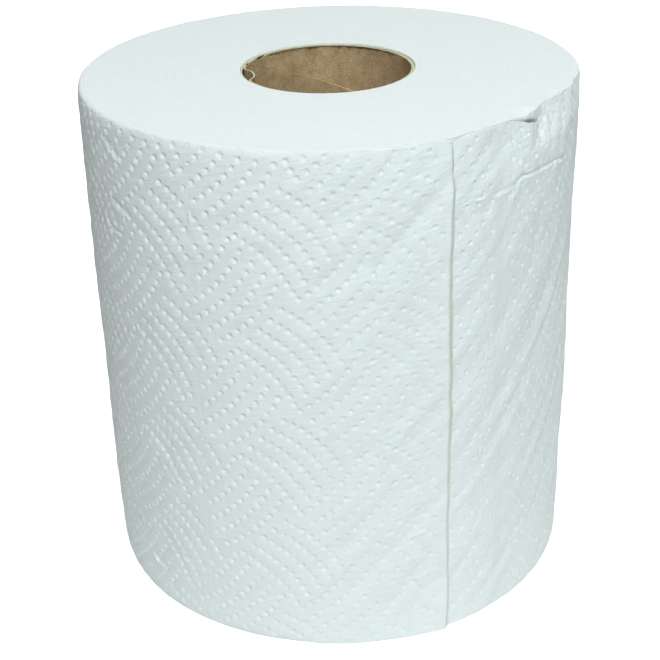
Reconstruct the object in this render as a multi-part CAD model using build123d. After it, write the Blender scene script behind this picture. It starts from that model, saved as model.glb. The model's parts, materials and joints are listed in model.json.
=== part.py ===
from build123d import *

import os
from math import atan2, cos, degrees, pi, radians, sin

# A jumbo paper towel roll standing on its end: one embossed web wound on a two-ply cardboard core.
# Lengths are millimetres. Angles are degrees, counter-clockwise from +X seen from above.
# The origin is on the roll's axis, in the middle of its bottom end.

# Overall size of the roll
roll_radius = 95.0
roll_height = 200.0

# One turn of the web, and the sheets that its perforations divide it into
sheet_loft = 0.4
sheet_length = 241.0
last_sheet_length = 93.5
perforation_width = 0.5
perforation_depth = 0.2

# The loose tail: the last stretch of the outer turn stands a little off the turn below
tail_angle = -65.0
tail_flap_length = 14.0
tail_lift = 0.9
tail_root_gap = 0.08

# The turns that show on both ends, as one spiral groove between two plain margins
shown_turns = 4
turn_groove_width = 0.6
turn_groove_depth = 0.3
turn_margin = 4.5

# The flat where the top rim was pressed in, beside the tail
dent_angle = -50.0
dent_depth = 2.8
dent_height = 21.0

# The core: two plies of kraft board glued together, set back a little in the web. The inner ply is a
# strip wound in a helix, and its edges meet along a seam that starts at seam_angle at the bottom end.
core_bore_radius = 31.75
ply_thickness = 0.7
glue_film = 0.05
core_recess = 0.6
seam_pitch = 70.0
seam_gap = 0.4
seam_angle = -138.6

# How far every cutting shape runs past the faces that it cuts
overrun = 2.0

# Sizes that follow from the ones above
core_height = roll_height - 2 * core_recess
outer_ply_bore_radius = core_bore_radius + ply_thickness + glue_film
web_bore_radius = outer_ply_bore_radius + ply_thickness + glue_film
under_turn_radius = roll_radius - sheet_loft
flap_turn = degrees(tail_flap_length / roll_radius)


def polar(radius: float, angle: float) -> Vector:
    """Return the plan point at a radius and an angle round the axis."""
    return Vector(radius * cos(radians(angle)), radius * sin(radians(angle)))


def outer_half_turns() -> list[tuple[Vector, float]]:
    """Return centre and radius of the outer turn's two half circles, with the tail along +X.

    The turn runs clockwise from the tail, and its radius drops by one sheet over the full circle.
    """
    shift = sheet_loft / 4
    first = (Vector(shift, 0), roll_radius - shift)
    second = (Vector(-shift, 0), under_turn_radius + shift)
    return [first, second]


def wound_outline() -> Face:
    """Return the plan of the roll with its lifted tail along +X."""
    (first_centre, first_radius), (second_centre, second_radius) = outer_half_turns()
    first = CenterArc(first_centre, first_radius, -flap_turn, flap_turn - 180)
    second = CenterArc(second_centre, second_radius, 180, -180 - flap_turn)
    back_along_turn = -(first % 0)
    flap_top_tip = Vector(roll_radius + tail_lift, 0)
    flap_under_tip = flap_top_tip - Vector(sheet_loft, 0)
    flap_under_root = second_centre + polar(second_radius + tail_root_gap, -flap_turn)
    flap_top = TangentArc(first @ 0, flap_top_tip, tangent=back_along_turn)
    flap_under = TangentArc(flap_under_root, flap_under_tip, tangent=back_along_turn)
    flap_edge = Line(flap_under_tip, flap_top_tip)
    flap_root = Line(second @ 1, flap_under_root)
    return make_face([flap_top, first, second, flap_root, flap_under, flap_edge])


def turn_groove() -> Part:
    """Return the spiral that is cut into an end, standing on the XY plane, tail along +X."""
    start_radius = web_bore_radius + turn_margin
    pitch = (under_turn_radius - turn_margin - turn_groove_width - start_radius) / shown_turns
    inner_arcs = []
    outer_arcs = []
    for half in range(2 * shown_turns):
        side = 1 if half % 2 else -1
        centre = Vector(side * pitch / 4, 0)
        radius = start_radius + (half + 1 / 2) * pitch / 2
        start = 180 if half % 2 else 0
        inner_arcs.append(CenterArc(centre, radius, start, 180))
        outer_arcs.append(CenterArc(centre, radius + turn_groove_width, start, 180))
    ends = [Line(inner_arcs[0] @ 0, outer_arcs[0] @ 0), Line(inner_arcs[-1] @ 1, outer_arcs[-1] @ 1)]
    return extrude(make_face(inner_arcs + outer_arcs + ends), amount=turn_groove_depth + overrun)


def perforation_slots() -> list[Part]:
    """Return the upright slots of the perforations round the outer turn, tail along +X."""
    half_turns = outer_half_turns()
    slots = []
    distance = last_sheet_length
    while distance < 2 * pi * roll_radius - tail_flap_length:
        turned = degrees(distance / roll_radius)
        centre, radius = half_turns[int(turned // 180)]
        place = centre + polar(radius, -turned)
        slot = Box(2 * perforation_depth, perforation_width, roll_height + 2 * overrun)
        slots.append(Pos(place.X, place.Y, roll_height / 2) * Rot(Z=-turned) * slot)
        distance += sheet_length
    return slots


def rim_dent() -> Part:
    """Return the leaning block that flattens the top rim."""
    lean = degrees(atan2(dent_depth, dent_height))
    foot = polar(under_turn_radius, dent_angle)
    block = Box(
        roll_radius,
        2 * roll_radius,
        2 * (dent_height + overrun),
        align=(Align.MIN, Align.CENTER, Align.CENTER),
    )
    return Pos(foot.X, foot.Y, roll_height - dent_height) * Rot(Z=dent_angle) * Rot(Y=-lean) * block


def towel_web() -> Part:
    """Return the wound web: every turn as one solid round the core."""
    to_tail = Rot(Z=tail_angle)
    web = extrude(wound_outline(), amount=roll_height)
    web -= Pos(0, 0, roll_height / 2) * Cylinder(web_bore_radius, roll_height + 2 * overrun)
    web -= perforation_slots()
    groove = turn_groove()
    web -= Pos(0, 0, roll_height - turn_groove_depth) * groove
    web -= Pos(0, 0, -overrun) * groove
    return to_tail * web - rim_dent()


def core_ply(bore_radius: float) -> Part:
    """Return one ply of the core as a plain tube, centred on the origin."""
    wall = Cylinder(bore_radius + ply_thickness, core_height)
    return wall - Cylinder(bore_radius, core_height + 2 * overrun)


def ply_seam(bore_radius: float) -> Part:
    """Return the helical gap between the edges of a ply's strip, centred on the origin."""
    path = Helix(seam_pitch, core_height + 2 * overrun, bore_radius + ply_thickness / 2)
    across = Plane(path @ 0, x_dir=(1, 0, 0), z_dir=path % 0) * Rectangle(2 * ply_thickness, seam_gap)
    gap = sweep(across, path=path, is_frenet=True)
    start_angle = seam_angle - 360 * overrun / seam_pitch
    return Pos(0, 0, -core_height / 2 - overrun) * Rot(Z=start_angle) * gap


to_middle = Pos(0, 0, roll_height / 2)
inner_ply = core_ply(core_bore_radius) - ply_seam(core_bore_radius)
outer_ply = core_ply(outer_ply_bore_radius)

os.makedirs("parts", exist_ok=True)
export_step(towel_web(), "parts/towel_web.step")
export_step(to_middle * inner_ply, "parts/core_inner_ply.step")
export_step(to_middle * outer_ply, "parts/core_outer_ply.step")
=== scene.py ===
import json
import logging
import math
from dataclasses import dataclass, field
from enum import Enum

import bpy
import numpy as np
from mathutils import Matrix, Vector
from mathutils.geometry import delaunay_2d_cdt
from mathutils.kdtree import KDTree


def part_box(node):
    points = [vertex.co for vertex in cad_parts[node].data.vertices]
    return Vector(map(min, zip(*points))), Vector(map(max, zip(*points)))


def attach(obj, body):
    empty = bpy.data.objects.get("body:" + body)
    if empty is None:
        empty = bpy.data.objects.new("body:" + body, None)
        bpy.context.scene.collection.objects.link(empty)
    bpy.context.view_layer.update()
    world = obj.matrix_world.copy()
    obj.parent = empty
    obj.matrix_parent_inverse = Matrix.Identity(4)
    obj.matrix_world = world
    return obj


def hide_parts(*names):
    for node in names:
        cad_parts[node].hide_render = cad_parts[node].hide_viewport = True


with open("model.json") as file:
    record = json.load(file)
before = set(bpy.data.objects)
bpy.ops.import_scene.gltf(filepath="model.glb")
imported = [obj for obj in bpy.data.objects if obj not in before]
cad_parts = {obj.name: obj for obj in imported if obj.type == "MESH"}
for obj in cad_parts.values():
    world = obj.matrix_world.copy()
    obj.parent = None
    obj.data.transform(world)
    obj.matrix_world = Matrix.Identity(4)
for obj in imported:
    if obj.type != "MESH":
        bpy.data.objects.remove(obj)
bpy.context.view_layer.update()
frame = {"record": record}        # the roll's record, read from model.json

BODY = "root"
LIP_SHADE_ATTRIBUTE = "tail_lip_shade"
NO_FOLD = -1
MERGE_DISTANCE = 1e-7
NOISE_ROUGHNESS = 0.6
SOFT_DETAIL = 2.0
MIDDLE_DETAIL = 3.0
FINE_DETAIL = 4.0
TAU = 2 * math.pi
log = logging.getLogger("towel_roll")

Array = np.ndarray
Limits = tuple[float, float]
Points = tuple[Limits, ...]
Colour = tuple[float, float, float, float]


def smooth_step(low: float, high: float, value: Array) -> Array:
    """Ease from 0 to 1 between two limits.

    Args:
        low: Where the passage starts.
        high: Where it ends.
        value: Where to look it up.

    Returns:
        The eased share at each value.
    """
    share = np.clip((value - low) / (high - low), 0, 1)
    return share * share * (3 - 2 * share)


def eased(stops: Points, value: Array) -> Array:
    """Follow a few stops set by hand, with an eased passage from each to the next.

    Args:
        Follow a few given stops, with an eased passage from each to the next.
        value: Where to look the amount up.

    Returns:
        The amount at each value, held level past both ends.
    """
    places = np.array([stop[0] for stop in stops])
    amounts = np.array([stop[1] for stop in stops])
    index = np.clip(np.searchsorted(places, value) - 1, 0, len(stops) - 2)
    share = smooth_step(0, 1, (value - places[index]) / (places[index + 1] - places[index]))
    return amounts[index] * (1 - share) + amounts[index + 1] * share


def wrapped(angle: Array) -> Array:
    """Bring angles in degrees to the turn from -180 to 180."""
    return (np.asarray(angle) + 180) % 360 - 180


class SmoothNoise:
    """Soft noise from -1 to 1 on a seeded table that repeats."""

    def __init__(self, seed: int, columns: int, rows: int) -> None:
        """Fill the table.

        Args:
            seed: Seed of the random draw.
            columns: Cells across before the table repeats.
            rows: Cells up before it repeats.
        """
        self.table = np.random.default_rng(seed).uniform(-1, 1, (columns, rows))

    def at(self, across: Array, up: Array) -> Array:
        """Read the noise.

        Args:
            across: Places across, in cells.
            up: Places up, in cells.

        Returns:
            The noise at each place.
        """
        columns, rows = self.table.shape
        left = np.floor(across).astype(int)
        low = np.floor(up).astype(int)
        share_x = smooth_step(0, 1, across - left)
        share_y = smooth_step(0, 1, up - low)
        below = (
            self.table[left % columns, low % rows] * (1 - share_x)
            + self.table[(left + 1) % columns, low % rows] * share_x
        )
        above = (
            self.table[left % columns, (low + 1) % rows] * (1 - share_x)
            + self.table[(left + 1) % columns, (low + 1) % rows] * share_x
        )
        return below * (1 - share_y) + above * share_y

    def along(self, across: Array, lane: int) -> Array:
        """Read the noise along the middle of one row of the table."""
        return self.at(across, 0 * across + lane + 0.5)


@dataclass(frozen=True)
class RollSizes:
    """Main sizes of the roll, as the frame has them."""

    height: float
    radius: float
    web_bore: float
    core_bore: float
    inner_ply_radius: float
    outer_ply_radius: float
    core_bottom: float
    core_top: float

    @classmethod
    def from_frame(cls) -> "RollSizes":
        """Read the sizes off the frame's boxes and the core's bore mount."""
        web_low, web_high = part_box("towel_web")
        inner_low, inner_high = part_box("core_inner_ply")
        outer_low, outer_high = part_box("core_outer_ply")
        bore = next(mount for mount in frame["record"]["mounts"] if mount["kind"] == "bore")
        core_bore = bore["dims"]["r_mm"] / 1000
        film = outer_high.x - inner_high.x - (inner_high.x - core_bore)
        return cls(
            height=web_high.z,
            radius=max(-web_low.x, -web_low.y, web_high.x, web_high.y),
            web_bore=outer_high.x + film,
            core_bore=core_bore,
            inner_ply_radius=inner_high.x,
            outer_ply_radius=outer_high.x,
            core_bottom=outer_low.z,
            core_top=outer_high.z,
        )


def place_round(angle: Array, radius: Array, height: Array) -> Array:
    """Put points round the roll's axis.

    Args:
        angle: Degrees to the right of the front.
        radius: Distances from the axis.
        height: Heights above the floor.

    Returns:
        An array with a row of x, y and z for each point.
    """
    turn = np.radians(angle)
    return np.stack([radius * np.sin(turn), -radius * np.cos(turn), height + 0 * turn], axis=-1)


def make_piece(
    name: str, vertices: Array, faces: list, sharp_angle: float, folds: Array | None = None
) -> bpy.types.Object:
    """Make a smooth-shaded mesh object with sharp folds.

    Args:
        name: Name of the piece.
        vertices: A row of x, y and z for each vertex.
        faces: Vertex numbers of each face.
        sharp_angle: Folds sharper than this many degrees stay sharp.
        folds: Number of the fold that each vertex lies on, or NO_FOLD. Edges along a fold are sharp too.

    Returns:
        The new object, in the scene.
    """
    mesh = bpy.data.meshes.new(name)
    mesh.from_pydata(vertices.tolist(), [], faces)
    mesh.polygons.foreach_set("use_smooth", np.ones(len(mesh.polygons), dtype=bool))
    mesh.set_sharp_from_angle(angle=math.radians(sharp_angle))
    if folds is not None:
        ends = np.empty(2 * len(mesh.edges), dtype=np.int32)
        sharp = np.empty(len(mesh.edges), dtype=bool)
        mesh.edges.foreach_get("vertices", ends)
        mesh.edges.foreach_get("use_edge_sharp", sharp)
        first, second = folds[ends.reshape(-1, 2)].T
        mesh.edges.foreach_set("use_edge_sharp", sharp | ((first == second) & (first != NO_FOLD)))
    mesh.update()
    piece = bpy.data.objects.new(name, mesh)
    bpy.context.scene.collection.objects.link(piece)
    return piece


def seat(piece: bpy.types.Object, node: str) -> None:
    """Let a piece ride on the roll's body in place of a solid.

    Args:
        piece: The piece.
        node: The solid that it stands for.
    """
    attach(piece, BODY)
    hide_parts(node)


def ring_faces(rings: int, columns: int, closed: bool) -> Array:
    """Join rings of vertices that are stacked one after another.

    Args:
        rings: Number of rings.
        columns: Vertices in each ring, which closes on itself.
        closed: Whether the last ring is joined to the first.

    Returns:
        The vertex numbers of each four-sided face.
    """
    here = np.arange(rings if closed else rings - 1)[:, None]
    column = np.arange(columns)[None, :]
    after = (here + 1) % rings
    beside = (column + 1) % columns
    corners = [
        here * columns + column,
        here * columns + beside,
        after * columns + beside,
        after * columns + column,
    ]
    return np.stack([np.broadcast_to(c, (here.size, columns)) for c in corners], axis=-1).reshape(-1, 4)


class RowLean(Enum):
    """Which way the rows of an emboss patch run, seen from outside."""

    FALLING = "down to the right"
    RISING = "up to the right"


@dataclass(frozen=True)
class DotPatch:
    """One patch of the emboss: a few bowed rows of dots side by side."""

    lean: RowLean
    slope: float
    row_spacing: float
    dot_pitch: float
    bow: float
    rows_each_side: int = 2
    dots_each_side: int = 4

    def axes(self) -> tuple[Array, Array]:
        """Return the unit vectors along the rows and across them, towards the hollow of the bow."""
        along_x = math.cos(math.radians(self.slope))
        along_z = math.sin(math.radians(self.slope))
        if self.lean is RowLean.FALLING:
            return np.array([along_x, -along_z]), np.array([along_z, along_x])
        return np.array([along_x, along_z]), np.array([along_z, -along_x])

    def dots(self) -> Array:
        """Return the dots' places from the middle of the patch."""
        along, across = self.axes()
        row = np.arange(-self.rows_each_side, self.rows_each_side + 1)
        dot = np.arange(-self.dots_each_side, self.dots_each_side + 1)
        rows, dots = np.meshgrid(row, dot, indexing="ij")
        offset = rows * self.row_spacing - self.bow * (dots / self.dots_each_side) ** 2
        return (offset[..., None] * across + (dots * self.dot_pitch)[..., None] * along).reshape(-1, 2)

    def local(self, from_middle: Array) -> tuple[Array, Array]:
        """Turn places from the patch's middle into places along its rows and across them.

        Args:
            from_middle: A row of x and z for each point.

        Returns:
            The places along the rows, and across them with the bow taken out.
        """
        along, across = self.axes()
        run = from_middle @ along
        return run, from_middle @ across + self.bow * (run / (self.dots_each_side * self.dot_pitch)) ** 2


@dataclass(frozen=True)
class Emboss:
    """The basket layout of dot patches over the flat sheet: x to the right of the front, z up."""

    falling: DotPatch = DotPatch(RowLean.FALLING, 44.0, 0.0060, 0.00346, 0.0023)
    rising: DotPatch = DotPatch(RowLean.RISING, 47.0, 0.0058, 0.00395, 0.0020)
    first_middle: tuple[float, float] = (-0.0620, 0.0806)
    step_up: tuple[float, float] = (0.02353, 0.02312)
    step_down: tuple[float, float] = (0.02262, -0.02015)
    valley_across: float = -0.0104
    valley_along: float = -0.0045
    valley_width: float = 0.0013
    valley_length: float = 0.0085
    pillow_row_fade: Limits = (0.3, 0.9)
    pillow_dot_fade: Limits = (0.0, 1.2)

    def patches(self, low: Array, high: Array) -> list[tuple[Array, DotPatch]]:
        """List the patches whose middle lies in or near a box.

        Args:
            low: Lowest x and z of the box.
            high: Highest x and z of it.

        Returns:
            The middle and the patch of each.
        """
        steps = np.array([self.step_up, self.step_down])
        corners = np.array([[x, z] for x in (low[0], high[0]) for z in (low[1], high[1])])
        counts = (corners - self.first_middle) @ np.linalg.inv(steps)
        first = np.floor(counts.min(axis=0)).astype(int) - 1
        last = np.ceil(counts.max(axis=0)).astype(int) + 1
        found = []
        for up in range(first[0], last[0] + 1):
            for down in range(first[1], last[1] + 1):
                middle = self.first_middle + np.array([up, down]) @ steps
                reach = np.abs(np.array(self.step_up))
                if np.all(middle > low - reach) and np.all(middle < high + reach):
                    found.append((middle, self.rising if (up + down) % 2 else self.falling))
        return found

    def dots(self, low: Array, high: Array, margin: float) -> Array:
        """Return the places of all dots in a box.

        Args:
            low: Lowest x and z of the box.
            high: Highest x and z of it.
            margin: Room that the dots keep to the box's edges.

        Returns:
            A row of x and z for each dot.
        """
        places = np.concatenate([middle + patch.dots() for middle, patch in self.patches(low, high)])
        inside = np.all((places > low + margin) & (places < high - margin), axis=1)
        return places[inside]

    def relief(self, places: Array) -> tuple[Array, Array]:
        """Give the soft forms that the dots draw into the sheet round them.

        Args:
            places: A row of x and z for each point.

        Returns:
            The pillows between the rows of each patch, from -1 along the rows to 1 between them, and the
            share of the valley along the lower row of each falling patch.
        """
        steps = np.array([self.step_up, self.step_down])
        nearest = np.round((places - self.first_middle) @ np.linalg.inv(steps)).astype(int)
        pillow = np.zeros(len(places))
        valley = np.zeros(len(places))
        for up in (-1, 0, 1):
            for down in (-1, 0, 1):
                index = nearest + (up, down)
                from_middle = places - (self.first_middle + index @ steps)
                for patch in (self.falling, self.rising):
                    here = index.sum(axis=1) % 2 == (0 if patch is self.falling else 1)
                    run, across = patch.local(from_middle)
                    rows = np.abs(across) / patch.row_spacing - patch.rows_each_side
                    dots = np.abs(run) / patch.dot_pitch - patch.dots_each_side
                    inside = here * (1 - smooth_step(*self.pillow_row_fade, rows))
                    inside = inside * (1 - smooth_step(*self.pillow_dot_fade, dots))
                    pillow -= inside * np.cos(TAU * across / patch.row_spacing)
                    if patch is self.falling:
                        valley += here * np.exp(
                            -(((across - self.valley_across) / self.valley_width) ** 2)
                            - ((run - self.valley_along) / self.valley_length) ** 2
                        )
        return np.clip(pillow, -1, 1), np.clip(valley, 0, 1)


@dataclass(frozen=True)
class Crease:
    """A crease in the sheet: a narrow groove along a line, with a soft lip below it."""

    path: Points
    depth: float
    width: float
    lip: float = 0.0
    fade: float = 0.004
    lip_shift_share: float = 1.7
    lip_width_share: float = 1.0
    row_shares: tuple[float, ...] = (-3.2, -2.3, -1.6, -0.8, 0.0, 0.8, 1.8)

    def line(self, radius: float) -> Array:
        """Return the crease's points on the flat sheet, as x and z."""
        return np.array([[math.radians(angle) * radius, height] for angle, height in self.path])

    def offset(self, places: Array, radius: float) -> Array:
        """Work out how far the crease moves the sheet.

        Args:
            places: A row of x and z on the flat sheet for each point.
            radius: Radius of the roll.

        Returns:
            The move at each point, outwards.
        """
        line = self.line(radius)
        nearest = np.full(len(places), np.inf)
        signed = np.zeros(len(places))
        run = np.zeros(len(places))
        start_run = 0.0
        for start, end in zip(line[:-1], line[1:]):
            step = end - start
            length = float(np.hypot(*step))
            along = step / length
            normal = np.array([-along[1], along[0]]) * (1 if along[0] >= 0 else -1)
            from_start = places - start
            share = np.clip(from_start @ along, 0, length)
            away = from_start - share[:, None] * along
            distance = np.hypot(away[:, 0], away[:, 1])
            closer = distance < nearest
            nearest = np.where(closer, distance, nearest)
            signed = np.where(closer, np.sign(from_start @ normal) * distance, signed)
            run = np.where(closer, start_run + share, run)
            start_run += length
        ends = smooth_step(0, self.fade, run) * smooth_step(0, self.fade, start_run - run)
        groove = np.exp(-((nearest / self.width) ** 2))
        from_lip = (signed / self.width + self.lip_shift_share) / self.lip_width_share
        lip = np.exp(-from_lip ** 2)
        return ends * (self.lip * lip - self.depth * groove)

    def mesh_points(self, radius: float, spacing: float) -> Array:
        """Return points in rows along the crease, close enough to carry its form.

        Args:
            radius: Radius of the roll.
            spacing: Distance of the points along the crease.

        Returns:
            A row of x and z for each point.
        """
        rows = []
        for start, end in zip(self.line(radius)[:-1], self.line(radius)[1:]):
            step = end - start
            length = float(np.hypot(*step))
            normal = np.array([-step[1], step[0]]) / length
            share = np.linspace(0, 1, max(2, int(length / spacing)), endpoint=False)
            middle = start + share[:, None] * step
            for share_across in self.row_shares:
                rows.append(middle + normal * share_across * self.width)
        return np.concatenate(rows)


@dataclass
class RollForm:
    """Slow forms that the outer turn shares with the turns below it."""

    sizes: RollSizes
    press: Points = (
        (10, 0.0), (20, 0.0006), (25, 0.0004), (29, 0.0018), (34, 0.0026), (41, 0.0030),
        (44, 0.0022), (46.5, 0.0012), (49, 0.0022), (52, 0.0032), (57, 0.0040), (64, 0.0032), (73, 0.0017),
        (86, 0.0),
    )
    press_reach: Points = ((20, 0.021), (44, 0.021), (50, 0.016), (60, 0.013), (80, 0.012))
    swell: float = 0.00035
    swell_cells: tuple[int, int] = (11, 5)
    rim_round: Points = (
        (-180, 0.0006), (-95, 0.0007), (-70, 0.0012), (-20, 0.0011), (8, 0.0005), (20, 0.0003), (90, 0.0004),
        (120, 0.0006), (180, 0.0006),
    )
    rim_round_reach: float = 0.0018
    noise: SmoothNoise = field(default_factory=lambda: SmoothNoise(11, 11, 16))

    def offset(self, angle: Array, height: Array) -> Array:
        """Work out how far the roll's side departs from a true cylinder.

        Args:
            angle: Degrees to the right of the front.
            height: Heights above the floor.

        Returns:
            The move at each point, outwards.
        """
        turn = wrapped(angle)
        below_rim = self.sizes.height - height
        pressed = eased(self.press, turn)
        pressed = pressed * (1 - smooth_step(0, 1, below_rim / eased(self.press_reach, turn)))
        columns, rows = self.swell_cells
        slow = self.noise.at((turn + 180) / 360 * columns, height / self.sizes.height * rows)
        edge = np.minimum(below_rim, height)
        rounded = eased(self.rim_round, turn) * np.exp(-edge / self.rim_round_reach)
        return self.swell * slow - pressed - rounded


@dataclass(frozen=True)
class Triangles:
    """A flat triangulation, and which of the given points each of its vertices is."""

    places: Array
    faces: Array
    source: Array

    def loop(self, count: int) -> Array:
        """Return the vertices of the first points given, in the order given."""
        order = np.full(count, -1)
        border = self.source < count
        order[self.source[border]] = np.nonzero(border)[0]
        return order


def triangulate(points: Array) -> Triangles:
    """Join flat points by triangles.

    Args:
        points: A row of x and z for each point.

    Returns:
        The triangles, which turn against the clock.
    """
    found = delaunay_2d_cdt([Vector(point) for point in points.tolist()], [], [], 0, MERGE_DISTANCE)
    places = np.array([tuple(vertex) for vertex in found[0]])
    return Triangles(places, np.array(found[2]), np.array([first[0] for first in found[3]]))


@dataclass(frozen=True)
class Ripple:
    """Soft random waves in the sheet, stretched and slanted."""

    height: float
    cell: tuple[float, float]
    slant: float
    strength: Points
    seed: int
    table: int = 160

    def offset(self, places: Array, turn: Array) -> Array:
        """Work out how far the waves move the sheet.

        Args:
            places: A row of x and z on the flat sheet for each point.
            turn: Degrees to the right of the front at each point.

        Returns:
            The move at each point, outwards.
        """
        noise = SmoothNoise(self.seed, self.table, self.table)
        across = places[:, 0] / self.cell[0]
        up = (places[:, 1] - self.slant * places[:, 0]) / self.cell[1]
        return self.height * eased(self.strength, turn) * noise.at(across, up)


@dataclass(frozen=True)
class Dents:
    """The dents of the emboss in one sheet: their places, radii and depths."""

    places: Array
    radius: Array
    depth: Array
    core_share: float
    core_depth_share: float
    core_points: int = 6
    rim_points: int = 12
    sharp_above: float = -0.3

    def nearest(self, places: Array) -> tuple[Array, Array]:
        """Find each point's nearest dent.

        Args:
            places: A row of x and z for each point.

        Returns:
            The dent's number, and the distance to its middle in shares of its radius.
        """
        tree = KDTree(len(self.places))
        for index, (x, z) in enumerate(self.places.tolist()):
            tree.insert((x, z, 0), index)
        tree.balance()
        found = [tree.find((x, z, 0)) for x, z in places.tolist()]
        index = np.array([item[1] for item in found])
        return index, np.array([item[2] for item in found]) / self.radius[index]

    def dip(self, places: Array) -> Array:
        """Work out how deep each point lies in a dent."""
        index, share = self.nearest(places)
        return self.depth[index] * np.interp(share, (0, self.core_share, 1), (1, self.core_depth_share, 0))

    def mesh_points(self) -> tuple[Array, Array]:
        """Return the points that carry the dents, and the sharp fold of each upper rim or NO_FOLD."""
        places = [self.places]
        folds = [np.full(len(self.places), NO_FOLD)]
        for share, count in ((self.core_share, self.core_points), (1.0, self.rim_points)):
            for step in range(count):
                turn = TAU * (step + 0.5) / count
                reach = share * self.radius[:, None]
                places.append(self.places + reach * np.array([math.cos(turn), math.sin(turn)]))
                sharp = share == 1.0 and math.sin(turn) > self.sharp_above
                folds.append(np.arange(len(self.places)) if sharp else folds[0])
        return np.concatenate(places), np.concatenate(folds)


@dataclass(frozen=True)
class SheetSpan:
    """One towel sheet of the outer turn: its limits as distances from the tail, along the web."""

    name: str
    near: float
    far: float
    fill_spacing: float


@dataclass(frozen=True)
class GlueBand:
    """The smooth band of pick-up glue beside the tail, which leans a little."""

    top_angle: float = 36.3
    foot_angle: float = 40.3
    half_width: float = 0.0025
    fade_share: float = 1.5
    stain_half_angle: float = 1.9
    stain_core_share: float = 0.4


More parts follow.
